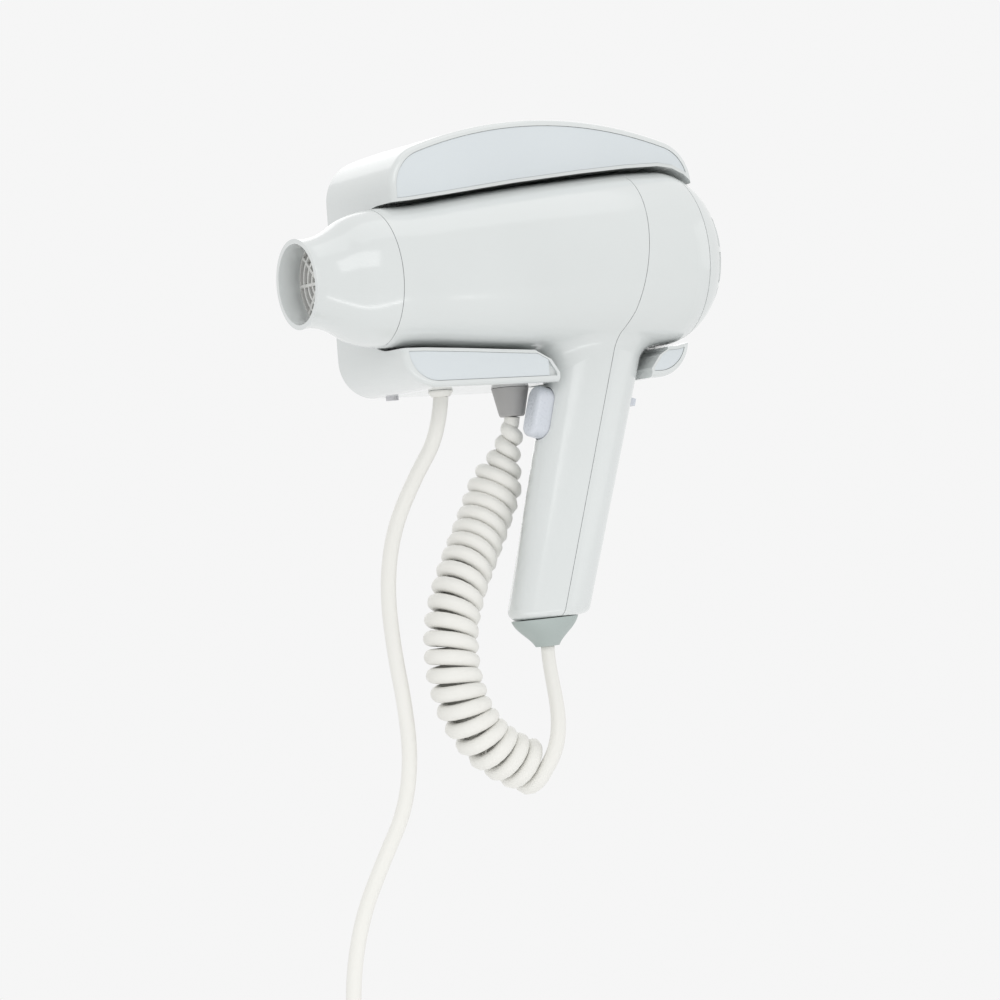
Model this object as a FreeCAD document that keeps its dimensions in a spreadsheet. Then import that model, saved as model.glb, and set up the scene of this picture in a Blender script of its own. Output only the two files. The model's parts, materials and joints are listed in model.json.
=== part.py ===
import FreeCAD, Part
import math
import os

# Wall-mounted hair dryer, millimetres. +Z is up, the wall is the plane y = 0 and the object stands out
# toward -Y. The origin is the middle of the four wall screws, level with the barrel's axis.

V = FreeCAD.Vector
doc = FreeCAD.newDocument("wall_hair_dryer")

# ---------------------------------------------------------------- driving dimensions
DRIVING = {
    # holder
    "holder_half_width": 79.5, "holder_depth": 65.0, "holder_bottom": 53.8, "holder_top": 66.6,
    "crown_radius": 202.0, "corner_top": 20.0, "corner_low": 17.5, "prong_end": 71.5,
    "wall": 2.4, "plate_thick": 3.0, "panel_thick": 1.6, "front_round": 3.0,
    "screw_pitch_x": 110.0, "screw_pitch_z": 60.0, "screw_hole": 4.5,
    # where the handset sits
    "axis_out": 51.0, "dock_tilt": 2.0, "cradle_gap": 1.4,
    # handset
    "mouth_x": 123.3, "nozzle_seam_x": 85.5, "grille_seam_x": 70.2, "shell": 2.2,
    "barrel_max": 40.6, "dome_start": 62.7, "dome_length": 28.2, "blend": 11.0,
    "handle_lean": 18.6, "handle_mid_x": 9.1, "handle_mid_z": 92.6, "handle_half_x": 21.9,
    "handle_half_y": 16.5, "handle_end": 160.5,
    # cords
    "mains_dia": 7.0, "tail_dia": 6.0, "curl_dia": 25.4,
    "gland_x": 10.2, "gland_y": 36.0, "mains_x": 48.8, "mains_y": 40.0,
}
sheet = doc.addObject("Spreadsheet::Sheet", "dims")
for row, (name, value) in enumerate(DRIVING.items(), start=1):
    sheet.set("A%d" % row, name)
    sheet.set("B%d" % row, str(value))
    sheet.setAlias("B%d" % row, name)
doc.recompute()


def dim(name):
    return float(getattr(sheet, name))


WALL = dim("wall")
SHELL = dim("shell")
DEPTH = dim("holder_depth")
AXIS_Y = -dim("axis_out")
LEAN = math.tan(math.radians(dim("handle_lean")))

HOLDER_AT = "create(<<placement>>; create(<<vector>>; 0; 0; 0); create(<<rotation>>; " \
            "create(<<vector>>; 0; 1; 0); 0))"
HANDSET_AT = "create(<<placement>>; create(<<vector>>; 0; -dims.axis_out; 0); create(<<rotation>>; " \
             "create(<<vector>>; 0; 1; 0); -dims.dock_tilt))"

nodes = []


def keep(obj, label, handset=False):
    """Names a finished piece, puts it in its place and adds it to the pieces that are written out."""
    if not obj.Placement.isIdentity():
        obj = group(label + "_at", obj)
    obj.Label = label
    obj.setExpression("Placement", HANDSET_AT if handset else HOLDER_AT)
    nodes.append(obj)
    return obj


# ---------------------------------------------------------------- small building blocks
def origin_plane(body, role):
    return next(f for f in body.Origin.OriginFeatures if f.Role == role)


def sketch_on(body, role, geometry, lift=0.0):
    """A sketch on one of the body's own origin planes, moved along the plane's normal by lift."""
    sketch = body.newObject("Sketcher::SketchObject", body.Name + "_sketch")
    sketch.AttachmentSupport = (origin_plane(body, role), [""])
    sketch.MapMode = "FlatFace"
    sketch.AttachmentOffset = FreeCAD.Placement(V(0, 0, lift), FreeCAD.Rotation())
    for piece in geometry:
        sketch.addGeometry(piece, False)
    return sketch


def closed(points):
    """Line segments round a closed outline of (u, v) points."""
    ends = points[1:] + points[:1]
    return [Part.LineSegment(V(a[0], a[1], 0), V(b[0], b[1], 0)) for a, b in zip(points, ends)]


def rectangle(u0, v0, u1, v1):
    return closed([(u0, v0), (u1, v0), (u1, v1), (u0, v1)])


def ring(cx, cz, radius):
    return Part.Circle(V(cx, cz, 0), V(0, 0, 1), radius)


def new_body(name):
    return doc.addObject("PartDesign::Body", name)


def pad(body, sketch, length, reverse=False, both=False):
    feature = body.newObject("PartDesign::Pad", body.Name + "_pad")
    feature.Profile = sketch
    feature.Length = length
    feature.Reversed = reverse
    feature.Midplane = both
    return feature


def turn(body, sketch, axis):
    feature = body.newObject("PartDesign::Revolution", body.Name + "_turn")
    feature.Profile = sketch
    feature.ReferenceAxis = (sketch, [axis])
    feature.Angle = 360
    return feature


def turned_x(name, outline):
    """A body turned about the X axis from (x, radius) points."""
    body = new_body(name)
    turn(body, sketch_on(body, "XZ_Plane", closed(outline)), "H_Axis")
    return body


def rounded(name, base, radius, chosen):
    """The base with the edges rounded whose bounding boxes pass the test."""
    doc.recompute()
    soft = doc.addObject("Part::Fillet", name)
    soft.Base = base
    soft.Edges = [(i + 1, radius, radius) for i, e in enumerate(base.Shape.Edges) if chosen(e.BoundBox)]
    return soft


def along_x(bound):
    return max(bound.YLength, bound.ZLength) < 0.01


def moved(name, body, at):
    """The body's shape carried to another place."""
    doc.recompute()
    copy = doc.addObject("Part::Feature", name + "_moved")
    copy.Shape = body.Shape
    copy.Placement = FreeCAD.Placement(V(*at), FreeCAD.Rotation())
    return group(name + "_set", copy)


def turned_z(name, outline, at):
    """A body turned about a vertical axis through at, from (radius, z) points."""
    body = new_body(name)
    turn(body, sketch_on(body, "XZ_Plane", closed(outline)), "V_Axis")
    return moved(name, body, at)


def box(name, size, at):
    """A block with its middle at the given place."""
    block = doc.addObject("Part::Box", name)
    block.Length, block.Width, block.Height = size
    block.Placement.Base = V(*at) - V(*size) / 2
    return block


def rod(name, radius, length, at, along):
    """A cylinder that starts at a point and runs along a direction."""
    bar = doc.addObject("Part::Cylinder", name)
    bar.Radius = radius
    bar.Height = length
    bar.Placement = FreeCAD.Placement(V(*at), FreeCAD.Rotation(V(0, 0, 1), V(*along)))
    return bar


def cut(name, base, *tools):
    for index, tool in enumerate(tools):
        result = doc.addObject("Part::Cut", "%s_%d" % (name, index))
        result.Base = base
        result.Tool = tool
        base = result
    return base


def join(name, *parts):
    result = doc.addObject("Part::MultiFuse", name)
    result.Shapes = list(parts)
    return result


def common(name, base, tool):
    result = doc.addObject("Part::Common", name)
    result.Base = base
    result.Tool = tool
    return result


def group(name, *parts):
    """Separate solids that share one node."""
    result = doc.addObject("Part::Compound", name)
    result.Links = list(parts)
    return result


def solid(name, shape):
    """A shape that no feature of the program makes directly."""
    feature = doc.addObject("Part::Feature", name)
    feature.Shape = shape
    return feature


# ---------------------------------------------------------------- holder
CROWN_R = dim("crown_radius")
CROWN_Z = dim("holder_top") - CROWN_R
TOP_R = dim("corner_top")
LOW_R = dim("corner_low")
HALF = dim("holder_half_width")
PRONG = dim("prong_end")
BOTTOM = -dim("holder_bottom")
TOP_CX = HALF - TOP_R
TOP_CZ = CROWN_Z + math.sqrt((CROWN_R - TOP_R) ** 2 - TOP_CX ** 2)
CROWN_HALF_ANGLE = math.asin(TOP_CX / (CROWN_R - TOP_R))
STEP_LOW = -14.0        # height where the right side starts to widen
STEP_HIGH = 6.0


def arc(cx, cz, radius, start, end):
    """A counter-clockwise arc, angles in radians."""
    return Part.ArcOfCircle(Part.Circle(V(cx, cz, 0), V(0, 0, 1), radius), start, end)


def holder_outline(inset):
    """The holder's rounded outline in the wall plane, moved in by inset."""
    quarter = math.pi / 2
    tilt = CROWN_HALF_ANGLE
    low_left = (-HALF + LOW_R, BOTTOM + LOW_R)
    low_right = (PRONG - LOW_R, BOTTOM + LOW_R)
    arcs = [
        arc(*low_left, LOW_R - inset, 2 * quarter, 3 * quarter),
        arc(*low_right, LOW_R - inset, 3 * quarter, 4 * quarter),
        arc(TOP_CX, TOP_CZ, TOP_R - inset, 0, quarter - tilt),
        arc(0, CROWN_Z, CROWN_R - inset, quarter - tilt, quarter + tilt),
        arc(-TOP_CX, TOP_CZ, TOP_R - inset, quarter + tilt, 2 * quarter),
    ]
    lines = []
    for first, second in ((0, 1), (4, 0)):
        lines.append(Part.LineSegment(arcs[first].EndPoint, arcs[second].StartPoint))
    side = [arcs[1].EndPoint, V(PRONG - inset, STEP_LOW, 0), V(HALF - inset, STEP_HIGH, 0),
            arcs[2].StartPoint]
    lines += [Part.LineSegment(a, b) for a, b in zip(side, side[1:])]
    return arcs + lines


def holder_block(name, inset, front, rounded=0.0):
    """The holder's outline padded out from the wall."""
    body = new_body(name)
    feature = pad(body, sketch_on(body, "XZ_Plane", holder_outline(inset)), front)
    doc.recompute()
    if rounded:
        edges = ["Edge%d" % (i + 1) for i, e in enumerate(feature.Shape.Edges)
                 if e.BoundBox.YMax < -front + 0.01]
        fillet = body.newObject("PartDesign::Fillet", name + "_round")
        fillet.Base = (feature, edges)
        fillet.Radius = rounded
        doc.recompute()
    return body


# barrel outline, (x, radius), from the mouth to where the rear dome starts
BARREL = [(-dim("mouth_x"), 20.4), (-116.7, 20.1), (-111.0, 21.4), (-105.5, 23.9), (-100.0, 27.2),
          (-94.0, 29.6), (-dim("nozzle_seam_x"), 31.2), (-70.0, 31.9), (-50.0, 33.6), (-15.0, 36.9),
          (20.0, 39.3), (45.0, 40.5), (dim("dome_start"), dim("barrel_max"))]


def barrel_profile(grow):
    """Half section of the barrel in (x, radius), its radius grown by grow, closed along the axis."""
    start = dim("dome_start")
    length = dim("dome_length") + grow
    height = dim("barrel_max") + grow
    skin = Part.BSplineCurve()
    skin.interpolate(Points=[V(x, r + grow, 0) for x, r in BARREL])
    ellipse = Part.Ellipse(V(start, height, 0), V(start + length, 0, 0), V(start, 0, 0))
    dome = Part.ArcOfEllipse(ellipse, 0, math.pi / 2)
    ends = [V(start + length, 0, 0), V(-dim("mouth_x"), 0, 0), skin.StartPoint]
    lines = [Part.LineSegment(a, b) for a, b in zip(ends, ends[1:])]
    return [skin, dome] + lines


def barrel_body(name, grow):
    body = new_body(name)
    turn(body, sketch_on(body, "XZ_Plane", barrel_profile(grow)), "H_Axis")
    return body


def handle_centre(z):
    return dim("handle_mid_x") + (z + dim("handle_mid_z")) * LEAN


def handle_section(z, grow):
    """Ellipse across the handle at one height."""
    up = z + dim("handle_mid_z")
    half_x = dim("handle_half_x") + 0.0255 * up + grow
    half_y = dim("handle_half_y") + 0.015 * up + grow
    return Part.Ellipse(V(handle_centre(z), 0, 0), half_x, half_y)


def handset_form(name, grow, bottom):
    """Barrel and handle in one solid with a blend between them."""
    body = barrel_body(name, grow)
    heights = [-15.0, -60.0, -110.0, bottom]
    sections = [sketch_on(body, "XY_Plane", [handle_section(z, grow)], z) for z in heights]
    loft = body.newObject("PartDesign::AdditiveLoft", name + "_handle")
    loft.Profile = sections[0]
    loft.Sections = sections[1:]
    doc.recompute()
    joint = ["Edge%d" % (i + 1) for i, e in enumerate(loft.Shape.Edges)
             if e.BoundBox.ZMax < -25 and e.BoundBox.ZMin > -60 and e.Length > 60]
    blend = body.newObject("PartDesign::Fillet", name + "_blend")
    blend.Base = (loft, joint)
    blend.Radius = dim("blend") - grow
    doc.recompute()
    foot = ["Edge%d" % (i + 1) for i, e in enumerate(blend.Shape.Edges)
            if e.BoundBox.ZMax < bottom + 0.1]
    rounding = body.newObject("PartDesign::Fillet", name + "_foot")
    rounding.Base = (blend, foot)
    rounding.Radius = 4.0 + grow
    doc.recompute()
    return body


# the space that the handset needs, cut out of the holder straight to the front
DOCK = FreeCAD.Placement(V(0, AXIS_Y, 0), FreeCAD.Rotation(V(0, 1, 0), -dim("dock_tilt")))
WAY_OUT = V(0, -40, 0)


def barrel_room(grow):
    """Half-round room behind the barrel's axis that runs straight out to the front.

    It is bounded by plain cones through the barrel's stations, grown by the gap.
    """
    gap = dim("cradle_gap") + grow
    start = dim("dome_start")
    length = dim("dome_length") + gap
    height = dim("barrel_max") + gap
    dome = [(start + length * k, height * math.sqrt(1 - k * k)) for k in (0.25, 0.45, 0.62, 0.78)]
    outline = [(x, r + gap) for x, r in BARREL] + dome
    points = [V(outline[0][0], 0, 0)] + [V(x, 0, r) for x, r in outline] + [V(outline[-1][0], 0, 0)]
    upper = Part.Face(Part.makePolygon(points + points[:1]))
    lower = upper.mirror(V(0, 0, 0), V(0, 0, 1))
    behind = upper.revolve(V(0, 0, 0), V(-1, 0, 0), 180)
    shape = behind.fuse([upper.extrude(WAY_OUT), lower.extrude(WAY_OUT)]).removeSplitter()
    shape.Placement = DOCK
    return shape


SLOT_BACK = -31.0
SLOT = [(0.4, -60.0), (0.4, -49.5), (-3.5, -43.5), (-13.5, -38.0), (-13.5, -25.0), (59.0, -25.0),
        (59.0, -41.0), (54.5, -43.5), (49.6, -49.5), (49.6, -60.0)]


def slot_room(grow):
    """Room for the handle between the two forks, open at the front and below."""
    middle = 25.0
    points = [V(x + math.copysign(grow, x - middle), SLOT_BACK + grow, z) for x, z in SLOT]
    face = Part.Face(Part.makePolygon(points + points[:1]))
    return face.extrude(V(0, -60, 0))


room = solid("handset_room", barrel_room(0).fuse(slot_room(0)))
hood_room = solid("handset_room_grown", barrel_room(WALL).fuse(slot_room(WALL)))

# moulded cover: outer block, room for the handset, hollow behind an even wall
GLAND = (-dim("gland_x"), -dim("gland_y"))
MAINS = (-dim("mains_x"), -dim("mains_y"))
PANEL_RIM = 2.8
PANEL_DEEP = 1.4
cover_block = holder_block("cover_block", 0.0, DEPTH, dim("front_round"))
hollow = cut("cover_hollow", holder_block("hollow_block", WALL, DEPTH - WALL), hood_room)


def panel_blank(name, rim, behind, front):
    """Front panels before they are parted: the holder's front face inside a rim."""
    face = holder_block(name, rim, front)
    slab = box(name + "_slab", (200, front - behind, 200), (0, -(front + behind) / 2, 0))
    edge = solid(name + "_edge", barrel_room(rim * 0.55).fuse(slot_room(rim * 0.55)))
    return cut(name + "_cut", common(name + "_front", face, slab), edge)


recess = panel_blank("panel_recess", PANEL_RIM, DEPTH - PANEL_DEEP, DEPTH + 1.0)
plates = panel_blank("panel_plates", PANEL_RIM + 0.2, DEPTH - PANEL_DEEP, DEPTH - 0.3)
screw_places = [(-57.6, -9.0), (47.0, -9.0)]
cover_holes = [rod("gland_hole", 6.2, 12, (*GLAND, BOTTOM - 4), (0, 0, 1)),
               rod("mains_hole", 4.6, 12, (*MAINS, BOTTOM - 4), (0, 0, 1))]
cover_holes += [rod("cover_screw_hole", 1.6, 12, (x, y, BOTTOM - 4), (0, 0, 1)) for x, y in screw_places]
keep(cut("cover", cover_block, room, hollow, recess, *cover_holes), "holder_cover")

for label, middle in (("hood_panel", (0, 40)), ("fork_panel", (-60, -50)), ("prong_panel", (60, -50))):
    window = box(label + "_window", (200 if middle[1] > 0 else 110, 20, 90),
                 (middle[0], -DEPTH, middle[1]))
    keep(common(label + "_part", plates, window), label)

# wall plate with four screw holes and two tabs for the cover's screws
PLATE = dim("plate_thick")
plate = holder_block("plate_block", WALL + 0.4, PLATE)
tabs = [box("plate_tab", (8, 10, 6), (x, -PLATE - 5, BOTTOM + WALL + 3.5)) for x, y in screw_places]
half_x = dim("screw_pitch_x") / 2
half_z = dim("screw_pitch_z") / 2
plate_holes = [rod("wall_screw_hole", dim("screw_hole") / 2, 30, (sx * half_x, 5, sz * half_z), (0, -1, 0))
               for sx in (-1, 1) for sz in (-1, 1)]
plate_holes += [rod("tab_hole", 1.6, 14, (x, y, BOTTOM), (0, 0, 1)) for x, y in screw_places]
keep(cut("plate", join("plate_solid", plate, *tabs), *plate_holes), "wall_plate")


def screw(name, at, along, head=3.0, shank=1.4, length=8.0, head_high=1.8):
    """A screw whose head starts at a point; the shank follows along the direction."""
    direction = V(*along)
    under_head = V(*at) + direction * head_high
    return join(name, rod(name + "_head", head, head_high, at, along),
                rod(name + "_shank", shank, length, (under_head.x, under_head.y, under_head.z), along))


cover_screws = [screw("cover_screw", (x, y, BOTTOM - 1.8), (0, 0, 1)) for x, y in screw_places]
keep(group("cover_screws", *cover_screws), "cover_screws")

# mains terminals and cord clamp inside the left fork
block = box("terminal_block_form", (30, 9, 12), (-38, -PLATE - 4.8, -40))
wells = [rod("terminal_well", 2.2, 5, (-38 + dx, -PLATE - 10, -40), (0, 1, 0)) for dx in (-10, 0, 10)]
keep(cut("terminal_block_cut", block, *wells), "terminal_block")
keep(group("terminal_screws", *[rod("terminal_screw", 1.9, 3, (-38 + dx, -PLATE - 8.0, -40), (0, 1, 0))
                                for dx in (-10, 0, 10)]), "terminal_screws")
clamp_z = BOTTOM + WALL + 3.4
clamp = box("clamp_bar", (20, 7, 3), (MAINS[0], MAINS[1] + 9, clamp_z))
clamp_ends = [(MAINS[0] + dx, MAINS[1] + 9) for dx in (-7, 7)]
keep(cut("clamp_cut", clamp, *[rod("clamp_hole", 1.5, 8, (x, y, clamp_z - 4), (0, 0, 1))
                               for x, y in clamp_ends]), "mains_clamp")
keep(group("clamp_screws", *[screw("clamp_screw", (x, y, clamp_z + 3.1), (0, 0, -1), 2.6, 1.3, 4.0, 1.5)
                             for x, y in clamp_ends]), "clamp_screws")

# gland of the curly cord and grommet of the mains lead, in the cover's underside
GLAND_END = -13.4
gland = turned_z("gland", [(0, GLAND_END), (5.4, GLAND_END), (6.0, -12.6), (8.7, -0.15), (6.0, -0.15),
                           (6.0, WALL + 0.15), (8.0, WALL + 0.15), (8.0, WALL + 1.8), (0, WALL + 1.8)],
                 (*GLAND, BOTTOM))
keep(gland, "curly_gland")
MAINS_END = -3.0
mains_r = dim("mains_dia") / 2
grommet = turned_z("grommet", [(0, MAINS_END), (4.3, MAINS_END), (5.6, -0.9), (5.6, -0.15), (4.4, -0.15),
                               (4.4, WALL + 0.15), (5.6, WALL + 0.15), (5.6, WALL + 1.6),
                               (0, WALL + 1.6)], (*MAINS, BOTTOM))
keep(grommet, "mains_grommet")

# ---------------------------------------------------------------- handset shells
skin = handset_form("handset_skin", 0.0, -dim("handle_end"))
core = handset_form("handset_core", -SHELL, -dim("handle_end") + SHELL)
walls = cut("handset_walls", skin, core)

NOZZLE_X = -dim("nozzle_seam_x")
GRILLE_X = dim("grille_seam_x")
BEND = (32.3, -25.0)                    # where the parting line bends, in the barrel
PART_TOP = (BEND[0] + 75 * 0.187, 50.0)
PART_LOW = (handle_centre(-185.0), -185.0)
SEAM = 0.15                             # half the groove between two shells


def slab_of(name, outline):
    """A block 120 mm wide over an outline in the barrel's upright middle plane."""
    body = new_body(name)
    pad(body, sketch_on(body, "XZ_Plane", closed(outline)), 120, both=True)
    return body


def parting(shift):
    return [(x + shift, z) for x, z in (PART_TOP, BEND, PART_LOW)]


front_zone = slab_of("front_zone", parting(-SEAM) + [(NOZZLE_X + SEAM, -185), (NOZZLE_X + SEAM, 50)])
ahead_zone = slab_of("ahead_zone", parting(SEAM) + [(-140, -185), (-140, 50)])
behind_zone = slab_of("behind_zone", [(GRILLE_X - 2 * SEAM, -60), (110, -60), (110, 60),
                                      (GRILLE_X - 2 * SEAM, 60)])
nozzle_zone = slab_of("nozzle_zone", [(-140, -50), (NOZZLE_X - SEAM, -50), (NOZZLE_X - SEAM, 50), (-140, 50)])
grille_zone = slab_of("grille_zone", [(GRILLE_X, -50), (110, -50), (110, 50), (GRILLE_X, 50)])

# grip frame: middle of the handle level with the trigger, X into the handle, Z along it
GRIP_Z = -74.0
grip = FreeCAD.Placement(V(handle_centre(GRIP_Z), 0, GRIP_Z),
                         FreeCAD.Rotation(V(0, 1, 0), dim("handle_lean")))


def in_grip(obj):
    obj.Placement = grip.multiply(obj.Placement)
    return obj


PRESS = 2.5                             # trigger stroke
SLIDE = 3.0                             # selector stroke each way
TRIGGER = (14.6, 12.0, 24.0)
TRIGGER_AT = (-20.6, 0, 0)
KNOB = (6.6, 8.0, 3.4)
KNOB_AT = (20.3, 0, 16.3)
FIT = 0.4                               # clearance round moving buttons
TRIGGER_CORNER = 5.6
slot_block = box("trigger_slot_block", (14, TRIGGER[1] + 2 * FIT, TRIGGER[2] + 2 * FIT), (-22, 0, 0))
trigger_slot = in_grip(rounded("trigger_slot", slot_block, TRIGGER_CORNER + FIT, along_x))
knob_slot = in_grip(box("knob_slot", (16, KNOB[1] + 2 * FIT, KNOB[2] + 2 * FIT + 2 * SLIDE),
                        (26, 0, KNOB_AT[2])))
CONE_X = -15.3
FOOT_Z = -dim("handle_end")
cone_bore = rod("cone_bore", 8.2, 20, (CONE_X, 0, FOOT_Z - 8), (0, 0, 1))
screw_heights = (-38.0, -68.0)
screw_bores = []
for height in screw_heights:
    screw_bores.append(in_grip(rod("shell_screw_bore", 1.7, 40, (24, 0, height), (-1, 0, 0))))
    screw_bores.append(in_grip(rod("shell_screw_head_bore", 3.3, 8, (26, 0, height), (-1, 0, 0))))
keep(cut("front_shell_cut", common("front_walls", walls, front_zone), trigger_slot, cone_bore),
     "front_shell", True)
doc.recompute()
rear = walls.Shape
for tool in (ahead_zone, behind_zone, knob_slot, cone_bore, *screw_bores):
    rear = rear.cut(tool.Shape)
keep(solid("rear_shell_form", rear), "rear_shell", True)
nozzle_lip = turned_x("nozzle_lip", [(-92, 26.4), (-80, 26.4), (-80, 28.2), (-84, 28.6), (-92, 28.6)])
keep(join("nozzle_join", common("nozzle_walls", walls, nozzle_zone), nozzle_lip), "outlet_nozzle", True)


def slotted(name, disc, x0, x1, slots, ribs, rib_wide):
    """Cuts ring-shaped slots through a round piece and leaves radial ribs."""
    rings = []
    for inner, outer in slots:
        rings.append(turned_x(name + "_ring", [(x0, inner), (x1, inner), (x1, outer), (x0, outer)]))
    bars = []
    for index in range(ribs):
        bar = box(name + "_rib", (x1 - x0 + 2, rib_wide, 100), ((x0 + x1) / 2, 0, 0))
        bar.Placement = FreeCAD.Placement(V(0, 0, 0), FreeCAD.Rotation(V(1, 0, 0), 180.0 * index / ribs)
                                          ).multiply(bar.Placement)
        bars.append(bar)
    return cut(name + "_slots", disc, cut(name + "_tool", group(name + "_rings", *rings),
                                          join(name + "_ribs", *bars)))


cap = join("cap_join", common("cap_walls", walls, grille_zone),
           turned_x("cap_lip", [(64, 34.4), (72, 34.4), (72, 37.0), (64, 36.0)]))
cap_slots = [(6.0 + 6.0 * i, 9.2 + 6.0 * i) for i in range(5)]
keep(slotted("rear_grille", cap, 66, 100, cap_slots, 6, 2.6), "rear_grille", True)
outlet = turned_x("outlet_disc", [(-112.5, 0), (-110.3, 0), (-110.3, 18.6), (-112.5, 18.6)])
keep(slotted("outlet_grille", outlet, -120, -105, [(3.0 + 4.0 * i, 5.8 + 4.0 * i) for i in range(4)], 4, 1.4),
     "outlet_grille", True)
mesh = turned_x("filter_disc", [(61.0, 0), (62.2, 0), (62.2, 35.6), (61.0, 35.6)])
keep(slotted("intake_filter", mesh, 55, 70, [(3.0 + 3.6 * i, 5.4 + 3.6 * i) for i in range(9)], 9, 1.0),
     "intake_filter", True)

# ---------------------------------------------------------------- inside the barrel
keep(turned_x("mica_tube", [(-79.5, 25.2), (-2, 25.2), (-2, 25.9), (-79.5, 25.9)]), "mica_sleeve", True)
cross = []
for index in range(3):
    leaf = box("mica_leaf", (58, 0.8, 42), (-44, 0, 0))
    leaf.Placement = FreeCAD.Placement(V(0, 0, 0), FreeCAD.Rotation(V(1, 0, 0), 60 * index)
                                       ).multiply(leaf.Placement)
    cross.append(leaf)
keep(join("mica_join", *cross), "heater_frame", True)
coils = []
for index in range(9):
    coil = doc.addObject("Part::Torus", "heater_turn")
    coil.Radius1 = 23.0
    coil.Radius2 = 0.8
    coil.Placement = FreeCAD.Placement(V(-70 + 6.4 * index, 0, 0), FreeCAD.Rotation(V(0, 1, 0), 90))
    coils.append(coil)
keep(group("heater_turns", *coils), "heater_windings", True)
keep(box("thermostat_body", (6, 9, 5), (-9, 0, 13)), "thermostat", True)
keep(rod("fuse_body", 1.7, 12, (-9, -11, -6), (0, 0, 1)), "thermal_fuse", True)
keep(turned_x("board", [(-3.2, 0), (-1.6, 0), (-1.6, 13), (-3.2, 13)]), "rectifier_board", True)
keep(turned_x("motor_can", [(0.5, 0), (0.5, 4), (2, 4), (2, 13.8), (33, 13.8), (34, 12.8), (34, 0)]),
     "motor", True)
vanes = [turned_x("duct_tube", [(6, 32.8), (58, 32.8), (58, 34.2), (6, 34.2)]),
         turned_x("duct_hub", [(5, 14.1), (32, 14.1), (32, 15.6), (5, 15.6)])]
VANES = 7
for index in range(VANES):
    vane = box("duct_vane", (20, 1.4, 18.4), (18, 0, 24.2))
    vane.Placement = FreeCAD.Placement(V(0, 0, 0), FreeCAD.Rotation(V(1, 0, 0), 360.0 * index / VANES)
                                       ).multiply(vane.Placement)
    vanes.append(vane)
keep(join("duct_join", *vanes), "stator_duct", True)

hub = turned_x("fan_hub", [(38, 1.5), (38, 12), (50, 12), (53, 8), (53, 1.5)])
BLADES = 9
blades = []
for index in range(BLADES):
    blade = box("fan_blade", (1.3, 15, 20.0), (0, 0, 21.4))
    blade.Placement = FreeCAD.Placement(V(44, 0, 0), FreeCAD.Rotation(V(1, 0, 0), 360.0 * index / BLADES)
                                        ).multiply(FreeCAD.Placement(V(0, 0, 0), FreeCAD.Rotation(V(0, 0, 1), 50))
                                                   ).multiply(blade.Placement)
    blades.append(blade)
keep(join("fan_join", hub, *blades), "impeller", True)
keep(rod("shaft_rod", 1.5, 17.5, (34.4, 0, 0), (1, 0, 0)), "motor_shaft", True)

# ---------------------------------------------------------------- inside the handle
trigger_face = TRIGGER_AT[0] - TRIGGER[0] / 2
trigger_block = rounded("trigger_corners", box("trigger_form", TRIGGER, TRIGGER_AT), TRIGGER_CORNER, along_x)
soft = rounded("trigger_round", trigger_block, 2.6, lambda bound: bound.XMax < trigger_face + 0.01)
flange = box("trigger_flange", (1.6, 15.0, 26.8), (-14.2, 0, 0))
bore = rod("trigger_bore", 3.6, 6, (-13.0, 0, 0), (-1, 0, 0))
trigger = cut("trigger_cut", join("trigger_join", soft, flange), bore)
trigger.Placement = grip


def keep_in_grip(obj, label):
    """A handle piece drawn in the grip frame: its place is the grip frame carried by the handset."""
    wrapper = group(label + "_set", in_grip(obj)) if obj.Placement.isIdentity() else group(label + "_set", obj)
    return keep(wrapper, label, True)


keep_in_grip(trigger, "trigger_button")
keep_in_grip(in_grip(box("switch_form", (14, 14, 28), (-2, 0, 0))), "switch_body")
spring = cut("spring_cut", rod("spring_outer", 3.0, 7.0, (-9.1, 0, 0), (-1, 0, 0)),
             rod("spring_inner", 2.2, 9.0, (-8, 0, 0), (-1, 0, 0)))
spring.Placement = grip
keep_in_grip(spring, "trigger_spring")
knob = join("knob_join", box("knob_form", KNOB, KNOB_AT),
            box("knob_flange", (1.6, 11.0, 2 * 8.1), (16.3, 0, KNOB_AT[2])))
knob.Placement = grip
keep_in_grip(knob, "selector_knob")
keep_in_grip(in_grip(box("selector_form", (6.4, 10, 22), (11.7, 0, 14))), "selector_body")
shell_screws = []
for height, start in zip(screw_heights, (19.0, 18.4)):
    one = screw("shell_screw", (start, 0, height), (-1, 0, 0), 3.0, 1.4, 24.0, 2.0)
    shell_screws.append(in_grip(one))
keep(group("shell_screws_set", *shell_screws), "shell_screws", True)

# strain-relief cone under the handle, with its neck and flange inside, and the clamp above it
CONE_LONG = 13.0
cone = new_body("cone")
rings_of_cone = [(0.25, 16.0, 13.4), (2.0, 15.2, 13.0), (8.4, 9.2, 9.0), (CONE_LONG, 5.5, 5.5)]
cone_sections = [sketch_on(cone, "XY_Plane", [Part.Ellipse(V(CONE_X, 0, 0), half_x, half_y)
                                              if half_x > half_y else ring(CONE_X, 0, half_x)],
                           FOOT_Z - down) for down, half_x, half_y in rings_of_cone]
cone_loft = cone.newObject("PartDesign::AdditiveLoft", "cone_loft")
cone_loft.Profile = cone_sections[0]
cone_loft.Sections = cone_sections[1:]
neck = rod("cone_neck", 7.9, SHELL + 1.0, (CONE_X, 0, FOOT_Z - 0.5), (0, 0, 1))
neck_flange = rod("cone_flange", 10.5, 1.6, (CONE_X, 0, FOOT_Z + SHELL + 0.2), (0, 0, 1))
keep(join("cone_join", cone, neck, neck_flange), "handle_cone", True)
clamp_body = box("handle_clamp_form", (16, 12, 5), (-12.0, 0, -150.0))
keep(clamp_body, "handle_clamp", True)

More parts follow.
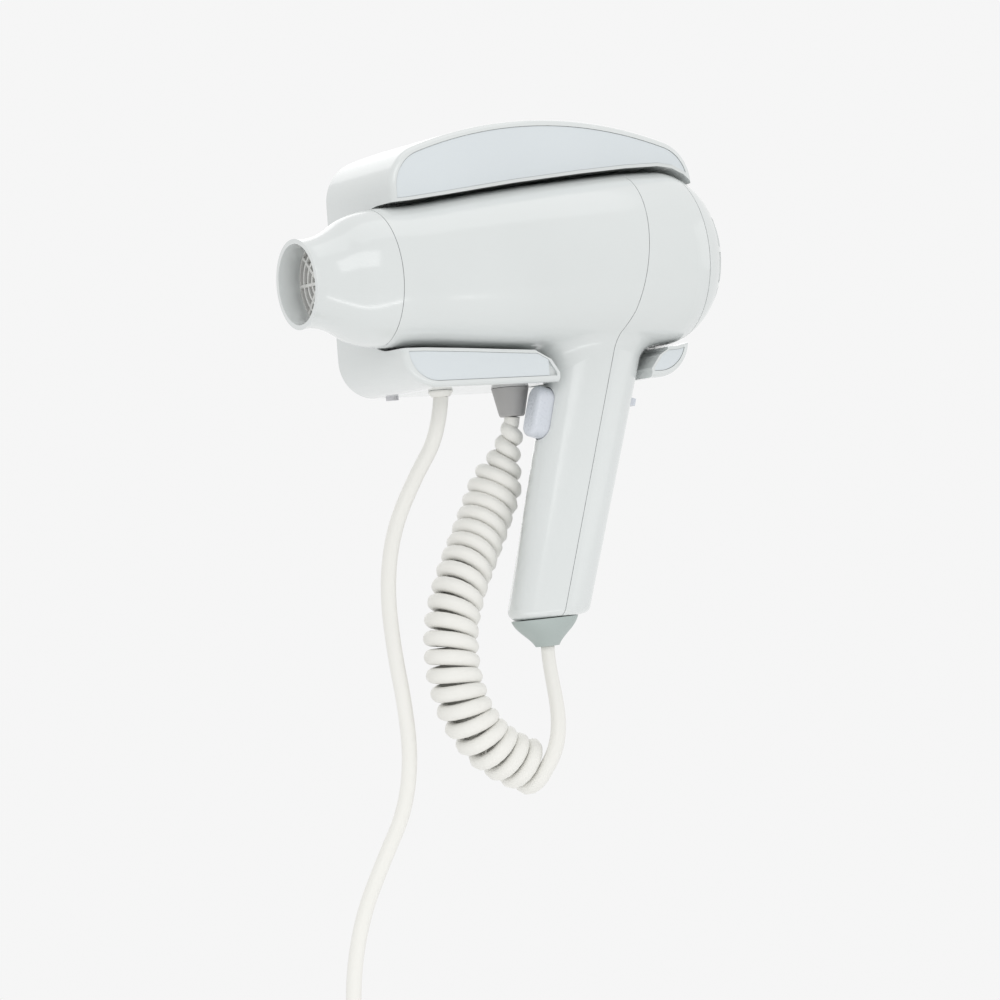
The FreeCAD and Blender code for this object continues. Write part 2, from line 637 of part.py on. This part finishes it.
# ---------------------------------------------------------------- cords
def rounded_route(label, points):
    """Straight runs joined by tangent arcs, each as large as its two runs allow."""
    points = [V(*p) for p in points]
    edges = []
    start = points[0]
    radii = []
    for before, corner, after in zip(points, points[1:], points[2:]):
        into = corner - before
        away = after - corner
        half_turn = into.getAngle(away) / 2
        reach = 0.45 * min(into.Length, away.Length)
        radius = reach / math.tan(half_turn)
        radii.append(radius)
        into.normalize()
        away.normalize()
        first = corner - into * reach
        last = corner + away * reach
        inward = (away - into).normalize()
        middle = corner + inward * (radius / math.cos(half_turn) - radius)
        edges.append(Part.LineSegment(start, first).toShape())
        edges.append(Part.Arc(first, middle, last).toShape())
        start = last
    edges.append(Part.LineSegment(start, points[-1]).toShape())
    print(label, "radii", " ".join("%.0f" % r for r in radii))
    return Part.Wire(edges)


def cord(label, points, diameter):
    """A round tube along a route."""
    path = rounded_route(label, points)
    start = path.Edges[0].Vertexes[0].Point
    heading = V(*points[1]) - V(*points[0])
    profile = Part.Wire(Part.makeCircle(diameter / 2, start, heading))
    tube = path.makePipeShell([profile], True, True)
    expected = math.pi * diameter ** 2 / 4 * path.Length
    print(label, "length %.1f volume ratio %.4f" % (path.Length, tube.Volume / expected))
    return keep(solid(label + "_tube", tube), label)


MAINS_Y = MAINS[1]
mains_start = (MAINS[0], MAINS_Y, BOTTOM + MAINS_END)
MAINS_ROUTE = [mains_start, (-51.5, -40, -74), (-65.5, -40, -93), (-78.5, -40, -116), (-84, -40, -142),
               (-82.8, -40, -170), (-79, -39.5, -196), (-77.8, -39, -220), (-82.5, -38.5, -243),
               (-94.5, -38, -263.5), (-107, -37.5, -287), (-114, -37, -313), (-115.5, -36.5, -338),
               (-116, -36.5, -355)]
cord("mains_cord", MAINS_ROUTE, dim("mains_dia"))

COIL_AT = (-73.5, -40.0, -384.0)
COIL_MEAN = 38.5
BUNDLE = 7.0                            # half the side of the wound bundle
coil = new_body("mains_coil_form")
section = rectangle(COIL_MEAN - BUNDLE, -BUNDLE, COIL_MEAN + BUNDLE, BUNDLE)
turn(coil, sketch_on(coil, "XY_Plane", section), "V_Axis")
keep(moved("mains_coil_form", coil, COIL_AT), "mains_coil")
tie_at = (COIL_AT[0] + COIL_MEAN, COIL_AT[1], COIL_AT[2])
tie_in = 2 * BUNDLE + 0.8
keep(cut("tie_cut", box("tie_form", (tie_in + 2, tie_in + 2, 6), tie_at),
         box("tie_hole", (tie_in, tie_in, 8), tie_at)), "cord_tie")

PLUG_AT = (-115.5, -43.5, -412.0)
RELIEF_LONG = 30.0
keep(turned_z("relief_form", [(0, 0), (4.2, 0), (4.6, -8), (6.4, -RELIEF_LONG), (0, -RELIEF_LONG)], PLUG_AT),
     "plug_relief")
plug = new_body("plug")
plug_top = PLUG_AT[2] - RELIEF_LONG
plug_sizes = [(0.0, 9.0, 6.6), (8.0, 14.0, 6.8), (24.0, 17.5, 6.8), (34.0, 17.5, 6.8)]
plug_sections = [sketch_on(plug, "XY_Plane", [Part.Ellipse(V(PLUG_AT[0], PLUG_AT[1], 0), half_x, half_y)],
                           plug_top - down) for down, half_x, half_y in plug_sizes]
plug_loft = plug.newObject("PartDesign::AdditiveLoft", "plug_loft")
plug_loft.Profile = plug_sections[0]
plug_loft.Sections = plug_sections[1:]
plug_face = plug_top - plug_sizes[-1][0]
PIN_LONG = 19.0
PIN_PITCH = 19.0
PIN_RADIUS = 2.4
pins = []
for side in (-1, 1):
    pin_x = PLUG_AT[0] + side * PIN_PITCH / 2
    pins.append(rod("pin", PIN_RADIUS, PIN_LONG, (pin_x, PLUG_AT[1], plug_face), (0, 0, -1)))
keep(group("plug_set", plug), "plug_body")
keep(group("plug_pin_set", *pins), "plug_pins")

# curly cord: a narrow first stretch out of the gland, then one fat tube of the coil's outer diameter
gland_tip = (GLAND[0], GLAND[1], BOTTOM + GLAND_END)
LEAD_ROUTE = [gland_tip, (-11.3, -34.2, -78), (-14.5, -31.0, -89)]
cord("curly_cord_lead", LEAD_ROUTE, 12.0)
CURL_ROUTE = [(-14.5, -31.0, -89), (-22.0, -30.5, -105.5), (-33.0, -34.5, -123), (-45.5, -40.5, -140),
              (-55.5, -44.0, -161), (-57.5, -47.0, -185), (-51.5, -49.6, -207), (-37.5, -51.0, -222.5),
              (-20.0, -51.5, -229.5)]
cord("curly_cord", CURL_ROUTE, dim("curl_dia"))

tilt = math.radians(dim("dock_tilt"))
tail_x = CONE_X
tail_z = FOOT_Z - CONE_LONG
TAIL_TOP = (tail_x * math.cos(tilt) - tail_z * math.sin(tilt), AXIS_Y,
            tail_x * math.sin(tilt) + tail_z * math.cos(tilt))
TAIL_ROUTE = [TAIL_TOP, (-9.4, -51, -194), (-11.4, -51, -215.5)]
cord("curly_cord_tail", TAIL_ROUTE, dim("tail_dia"))

# ---------------------------------------------------------------- check and write out
doc.recompute()
os.makedirs("parts", exist_ok=True)
for obj in nodes:
    shape = obj.Shape
    if shape.isNull() or not shape.isValid() or "Invalid" in obj.State or "Error" in obj.State:
        raise SystemExit("bad piece: " + obj.Label)
    shape.exportStep("parts/" + obj.Label + ".step")
for obj in doc.Objects:
    if "Invalid" in obj.State or "Error" in obj.State:
        raise SystemExit("bad object: " + obj.Name)
box_all = Part.makeCompound([obj.Shape for obj in nodes]).BoundBox
print(len(nodes), "pieces; size %.1f x %.1f x %.1f" % (box_all.XLength, box_all.YLength, box_all.ZLength))
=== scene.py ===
import bpy
import bmesh
import json
import math
from mathutils import Matrix, Vector


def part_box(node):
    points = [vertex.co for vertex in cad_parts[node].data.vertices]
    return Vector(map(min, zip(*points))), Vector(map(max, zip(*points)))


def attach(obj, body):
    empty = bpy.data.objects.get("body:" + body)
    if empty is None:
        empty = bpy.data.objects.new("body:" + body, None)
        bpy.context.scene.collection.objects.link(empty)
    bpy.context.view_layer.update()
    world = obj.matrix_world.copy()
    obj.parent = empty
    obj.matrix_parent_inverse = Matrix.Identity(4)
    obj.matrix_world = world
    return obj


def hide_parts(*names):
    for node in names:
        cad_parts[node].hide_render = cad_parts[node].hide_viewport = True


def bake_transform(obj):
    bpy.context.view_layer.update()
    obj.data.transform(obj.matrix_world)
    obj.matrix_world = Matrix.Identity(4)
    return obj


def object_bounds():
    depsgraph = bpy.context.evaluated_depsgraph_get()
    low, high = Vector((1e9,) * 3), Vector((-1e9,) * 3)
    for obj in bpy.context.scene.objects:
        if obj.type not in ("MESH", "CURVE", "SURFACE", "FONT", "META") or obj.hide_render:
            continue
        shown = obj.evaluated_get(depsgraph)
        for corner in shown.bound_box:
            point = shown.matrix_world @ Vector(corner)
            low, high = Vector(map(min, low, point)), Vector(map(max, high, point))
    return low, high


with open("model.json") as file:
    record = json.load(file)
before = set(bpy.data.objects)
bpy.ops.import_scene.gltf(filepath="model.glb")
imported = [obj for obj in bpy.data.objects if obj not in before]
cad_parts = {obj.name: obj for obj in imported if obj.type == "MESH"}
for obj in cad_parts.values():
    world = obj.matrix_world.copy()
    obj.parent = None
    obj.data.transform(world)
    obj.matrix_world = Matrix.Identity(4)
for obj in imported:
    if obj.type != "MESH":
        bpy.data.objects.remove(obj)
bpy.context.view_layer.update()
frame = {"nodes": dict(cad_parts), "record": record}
nodes = frame["nodes"]
MM = 0.001


# ---------------------------------------------------------------- camera
def place_camera():
    """A view from the front left, a little below, with the camera rolled."""
    azimuth, elevation, roll = (math.radians(a) for a in (-29.0, -1.6, 4.4))
    target = Vector((0.0, 0.0, -0.1042))
    distance = 2.0
    back = Vector((math.sin(azimuth) * math.cos(elevation), -math.cos(azimuth) * math.cos(elevation),
                   math.sin(elevation)))
    right = Vector((math.cos(azimuth), math.sin(azimuth), 0.0))
    up = back.cross(right)
    side = right * math.cos(roll) - up * math.sin(roll)
    head = right * math.sin(roll) + up * math.cos(roll)
    data = bpy.data.cameras.new("camera")
    camera = bpy.data.objects.new("camera", data)
    bpy.context.scene.collection.objects.link(camera)
    camera.matrix_world = Matrix.Translation(target + back * distance) @ Matrix(
        (side, head, back)).transposed().to_4x4()
    seen_width = 0.47                   # of the plane through the target
    data.sensor_width = 36.0
    data.lens = data.sensor_width * distance / seen_width
    data.clip_end = 20.0
    bpy.context.scene.camera = camera


place_camera()


# ---------------------------------------------------------------- cords
def in_metres(route):
    return [Vector(p) * MM for p in route]


def nurbs_curve(name, points, radius):
    """A round cord whose route's points are the control points of a smooth curve."""
    data = bpy.data.curves.new(name, "CURVE")
    data.dimensions = "3D"
    spline = data.splines.new("NURBS")
    spline.points.add(len(points) - 1)
    for knot, place in zip(spline.points, points):
        knot.co = (*place, 1.0)
        knot.radius = radius
    spline.order_u = 3
    spline.use_endpoint_u = True
    data.resolution_u = 12
    data.bevel_depth = 1.0              # the points' own radii carry the cord's size
    data.bevel_resolution = 6
    data.use_fill_caps = True
    curve = bpy.data.objects.new(name, data)
    bpy.context.scene.collection.objects.link(curve)
    return curve


def points_along(points):
    """Points read from the smooth curve of a route."""
    curve = nurbs_curve("route", points, 0.0)
    curve.data.bevel_depth = 0.0
    curve.data.resolution_u = 24
    curve.data.use_fill_caps = False
    bpy.context.view_layer.update()
    mesh = bpy.data.meshes.new_from_object(curve)
    found = [v.co.copy() for v in mesh.vertices]
    bpy.data.meshes.remove(mesh)
    bpy.data.objects.remove(curve)
    return found


def path_length(points):
    return sum((b - a).length for a, b in zip(points, points[1:]))


MAINS_RADIUS = 3.5 * MM
MAINS_ROUTE = [(-48.8, -40, -56.8), (-51.5, -40, -74), (-65.5, -40, -93), (-78.5, -40, -116),
               (-84, -40, -142), (-82.8, -40, -170), (-79, -39.5, -196), (-77.8, -39, -220),
               (-82.5, -38.5, -243), (-94.5, -38, -263.5), (-107, -37.5, -287), (-114, -37, -313),
               (-115.5, -36.5, -338)]
COIL_AT = Vector((-73.5, -40.0, -384.0))
PER_TURN = 16
TURNS = [(42.0, 3.5), (35.0, 3.5), (35.0, -3.5), (42.0, -3.5)]      # radius, place across the bundle
CROSSING = 0.75                         # part of a turn after which it moves over to the next


def coil_points():
    """Control points of the put-away turns, wound two side by side and two deep."""
    outward = 1 / (0.5 + 0.5 * math.cos(math.pi / PER_TURN))
    points = []
    for step in range(PER_TURN * len(TURNS) + 1):
        turn, part = divmod(step / PER_TURN, 1.0)
        here = TURNS[min(int(turn), len(TURNS) - 1)]
        after = TURNS[min(int(turn) + 1, len(TURNS) - 1)]
        share = max(0.0, (part - CROSSING) / (1 - CROSSING))
        share = share * share * (3 - 2 * share)
        radius = (here[0] + (after[0] - here[0]) * share) * outward
        across = here[1] + (after[1] - here[1]) * share
        angle = math.pi + 2 * math.pi * step / PER_TURN
        points.append(COIL_AT + Vector((radius * math.cos(angle), across, radius * math.sin(angle))))
    return points


mains_points = in_metres(MAINS_ROUTE + coil_points())
relief_low, relief_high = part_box("plug_relief")
plug_x = (relief_low[0] + relief_high[0]) / 2
plug_y = (relief_low[1] + relief_high[1]) / 2
APPROACH = 0.012                        # last control point above the plug's relief
INSIDE = 0.001                          # how far the lead's end goes into it
mains_points.append(Vector((plug_x, plug_y, relief_high[2] + APPROACH)))
mains_points.append(Vector((plug_x, plug_y, relief_high[2] - INSIDE)))
mains = nurbs_curve("mains_lead", mains_points, MAINS_RADIUS)
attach(mains, "holder")
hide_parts("mains_cord", "mains_coil")
mains_line = points_along(mains_points)
print("mains length", round(path_length(mains_line), 4))

# curly cord: a helix round the smooth line of its route, then the straight tail up into the handle
CURL_ROUTE = [(-10.2, -36, -67.2), (-11.3, -34.2, -78), (-14.5, -31.0, -89), (-22.0, -30.5, -105.5),
              (-33.0, -34.5, -123), (-45.5, -40.5, -140), (-55.5, -44.0, -161), (-57.5, -47.0, -185),
              (-51.5, -49.6, -207), (-37.5, -51.0, -222.5), (-20.0, -51.5, -229.5)]
CURL_RADIUS = 9.2 * MM                  # of the strand's middle round the coil's middle
STRAND = 3.6 * MM
PITCH = 7.7 * MM
WIDENING = [(0.3, 0.002, 0.008), (0.7, 0.012, 0.024)]       # share of the radius, start and length
TAIL_LEAVING = 0.022                    # reach of the tail's curve out of the last turn
TAIL_ARRIVING = Vector((-0.0006, 0, -0.020))
TAIL_STEPS = 60
TAIL_TAPER = 0.45 * MM                  # the strand is thinner by this at the cone


def smooth(x):
    x = min(1.0, max(0.0, x))
    return x * x * (3 - 2 * x)


def even_points(points, gap):
    """The same line with points at even distances."""
    spaced = [points[0]]
    left = gap
    for a, b in zip(points, points[1:]):
        run = (b - a).length
        done = 0.0
        while run - done >= left:
            done += left
            spaced.append(a.lerp(b, done / run))
            left = gap
        left -= run - done
    return spaced


def helix(line, gap):
    """Left-handed turns round a line that end on its front side; narrow at the top."""
    count = len(line)
    ways = [(line[min(i + 1, count - 1)] - line[max(i - 1, 0)]).normalized() for i in range(count)]
    angle = 0.0
    points = []
    toward = Vector((0.0, -1.0, 0.0))
    for i in range(count - 1, -1, -1):
        way = ways[i]
        toward = (toward - way * toward.dot(way)).normalized()
        other = way.cross(toward)
        along = i * gap
        reach = sum(share * CURL_RADIUS * smooth((along - start) / length)
                    for share, start, length in WIDENING)
        points.append(line[i] + (toward * math.cos(angle) + other * math.sin(angle)) * reach)
        angle += 2 * math.pi * gap / PITCH
    points.reverse()
    return points


def bezier(a, b, c, d, steps):
    out = []
    for i in range(1, steps + 1):
        t = i / steps
        out.append(a * (1 - t) ** 3 + b * 3 * t * (1 - t) ** 2 + c * 3 * t * t * (1 - t) + d * t ** 3)
    return out


def tube(name, points, radii, sides=16):
    """A round mesh tube along points, with a turning-free frame."""
    mesh = bpy.data.meshes.new(name)
    build = bmesh.new()
    loops = []
    across = Vector((1.0, 0.0, 0.0))
    last = len(points) - 1
    for i, place in enumerate(points):
        way = (points[min(i + 1, last)] - points[max(i - 1, 0)]).normalized()
        across = (across - way * across.dot(way)).normalized()
        other = way.cross(across)
        loops.append([build.verts.new(place + (across * math.cos(a) + other * math.sin(a)) * radii[i])
                      for a in (2 * math.pi * k / sides for k in range(sides))])
    for low, high in zip(loops, loops[1:]):
        for k in range(sides):
            build.faces.new((low[k], low[(k + 1) % sides], high[(k + 1) % sides], high[k]))
    build.faces.new(loops[0][::-1])
    build.faces.new(loops[-1])
    build.normal_update()
    build.to_mesh(mesh)
    build.free()
    for face in mesh.polygons:
        face.use_smooth = len(face.vertices) == 4
    piece = bpy.data.objects.new(name, mesh)
    bpy.context.scene.collection.objects.link(piece)
    return piece


TAIL_TOP = Vector((-9.23, -51.0, -173.89)) * MM
STEP = 0.5 * MM
axis_line = even_points(points_along(in_metres(CURL_ROUTE)), STEP)
turns = helix(axis_line, STEP)
leaving = (turns[-1] - turns[-3]).normalized()
tail = bezier(turns[-1], turns[-1] + leaving * TAIL_LEAVING, TAIL_TOP + TAIL_ARRIVING, TAIL_TOP,
              TAIL_STEPS)
curl_line = turns + tail
radii = []
for i in range(len(curl_line)):
    radii.append(STRAND - TAIL_TAPER * smooth((i - len(turns)) / len(tail)))
curl = tube("curly_cord_whole", curl_line, radii)
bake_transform(curl)
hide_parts("curly_cord", "curly_cord_lead", "curly_cord_tail")
print("curly length", round(path_length(curl_line), 4))


# ---------------------------------------------------------------- materials
def new_material(name):
    material = bpy.data.materials.new(name)
    material.use_nodes = True
    tree = material.node_tree
    return material, tree, tree.nodes["Principled BSDF"]


def plastic(name, colour, rough=0.25, coat=0.0, variation=0.015, grain=900.0, bump=0.03, mottling=14.0,
            metallic=0.0, sheen=0.0):
    """Moulded plastic: slight colour drift, uneven gloss and a fine surface grain."""
    material, tree, shader = new_material(name)
    coords = tree.nodes.new("ShaderNodeTexCoord")
    drift = tree.nodes.new("ShaderNodeTexNoise")
    drift.inputs["Scale"].default_value = mottling
    drift.inputs["Detail"].default_value = 4.0
    tree.links.new(coords.outputs["Object"], drift.inputs["Vector"])
    ramp = tree.nodes.new("ShaderNodeValToRGB")
    ramp.color_ramp.elements[0].position = 0.3
    ramp.color_ramp.elements[1].position = 0.7
    ramp.color_ramp.elements[0].color = (*[c * (1 - variation) for c in colour], 1)
    ramp.color_ramp.elements[1].color = (*[min(1, c * (1 + variation)) for c in colour], 1)
    tree.links.new(drift.outputs["Fac"], ramp.inputs["Fac"])
    tree.links.new(ramp.outputs["Color"], shader.inputs["Base Color"])
    fine = tree.nodes.new("ShaderNodeTexNoise")
    fine.inputs["Scale"].default_value = grain
    fine.inputs["Detail"].default_value = 3.0
    tree.links.new(coords.outputs["Object"], fine.inputs["Vector"])
    spread = tree.nodes.new("ShaderNodeMapRange")
    spread.inputs["To Min"].default_value = max(0.02, rough - 0.05)
    spread.inputs["To Max"].default_value = rough + 0.05
    tree.links.new(fine.outputs["Fac"], spread.inputs["Value"])
    tree.links.new(spread.outputs["Result"], shader.inputs["Roughness"])
    relief = tree.nodes.new("ShaderNodeBump")
    relief.inputs["Strength"].default_value = bump
    relief.inputs["Distance"].default_value = 0.0003
    tree.links.new(fine.outputs["Fac"], relief.inputs["Height"])
    tree.links.new(relief.outputs["Normal"], shader.inputs["Normal"])
    shader.inputs["Coat Weight"].default_value = coat
    shader.inputs["Coat Roughness"].default_value = 0.08
    shader.inputs["Metallic"].default_value = metallic
    shader.inputs["Sheen Weight"].default_value = sheen
    return material


MATERIALS = {
    "shell_white": plastic("gloss_white", (0.64, 0.665, 0.66), 0.18, coat=0.5),
    "panel_white": plastic("satin_white", (0.63, 0.67, 0.69), 0.30, coat=0.1),
    "button_white": plastic("button_white", (0.60, 0.63, 0.68), 0.28, coat=0.2),
    "cord_white": plastic("warm_jacket", (0.74, 0.735, 0.70), 0.45, bump=0.06, grain=500.0, sheen=0.1),
    "gland_dark": plastic("gland_elastomer", (0.36, 0.355, 0.35), 0.5, bump=0.1),
    "cone_grey": plastic("grey_elastomer", (0.37, 0.42, 0.405), 0.48, bump=0.08),
    "plastic_dark": plastic("dark_plastic", (0.03, 0.03, 0.033), 0.45),
    "steel": plastic("bright_steel", (0.55, 0.55, 0.57), 0.3, metallic=1.0, variation=0.05),
    "brass": plastic("plain_brass", (0.70, 0.52, 0.22), 0.3, metallic=1.0, variation=0.05),
    "mica": plastic("mica_sheet", (0.42, 0.33, 0.20), 0.4, variation=0.15, mottling=60.0),
    "wire": plastic("resistance_wire", (0.30, 0.27, 0.25), 0.4, metallic=1.0, variation=0.1),
    "board": plastic("circuit_board", (0.03, 0.16, 0.07), 0.4, variation=0.1),
    "fan": plastic("fan_plastic", (0.06, 0.06, 0.07), 0.4),
    "inner_plastic": plastic("inner_plastic", (0.70, 0.70, 0.68), 0.5),
}
slot_of = {s["node"]: s["material_slot"] for s in frame["record"]["subparts"]}
for label, obj in nodes.items():
    obj.data.materials.clear()
    obj.data.materials.append(MATERIALS[slot_of[label]])
nodes["outlet_grille"].data.materials[0] = MATERIALS["inner_plastic"]      # pale, deep in the mouth
for piece in (mains, curl):
    piece.data.materials.append(MATERIALS["cord_white"])


# ---------------------------------------------------------------- floor and light
def stage_floor():
    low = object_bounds()[0][2]
    mesh = bpy.data.meshes.new("floor")
    build = bmesh.new()
    reach = 1.0
    corners = [build.verts.new((x, y, low - 0.06)) for x, y in
               ((-reach, -reach), (reach, -reach), (reach, reach), (-reach, reach))]
    build.faces.new(corners)
    build.to_mesh(mesh)
    build.free()
    floor = bpy.data.objects.new("floor", mesh)
    bpy.context.scene.collection.objects.link(floor)
    floor.data.materials.append(plastic("floor_paper", (0.9, 0.9, 0.9), 0.7, variation=0.01, bump=0.01))


def softbox(name, place, aim, wide, high, power):
    data = bpy.data.lights.new(name, "AREA")
    data.shape = "RECTANGLE"
    data.size = wide
    data.size_y = high
    data.energy = power
    light = bpy.data.objects.new(name, data)
    light.location = place
    light.rotation_euler = (Vector(aim) - Vector(place)).to_track_quat("-Z", "Y").to_euler()
    bpy.context.scene.collection.objects.link(light)


stage_floor()
middle = (0.0, -0.05, -0.08)
softbox("key", (-0.9, -1.6, 1.0), middle, 1.2, 1.0, 6.0)
softbox("fill", (1.6, -1.0, 0.3), middle, 1.2, 1.4, 2.5)
softbox("top", (0.0, -0.2, 1.6), middle, 1.6, 1.2, 3.5)
softbox("strip", (-0.2, -0.42, -0.48), middle, 0.9, 0.06, 0.5)
softbox("rear", (0.4, 1.6, 0.6), middle, 1.6, 1.2, 3.0)
world = bpy.data.worlds.new("studio")
world.use_nodes = True
world.node_tree.nodes["Background"].inputs["Color"].default_value = (1, 1, 1, 1)
world.node_tree.nodes["Background"].inputs["Strength"].default_value = 0.92
bpy.context.scene.world = world
bpy.context.scene.view_settings.view_transform = "Standard"
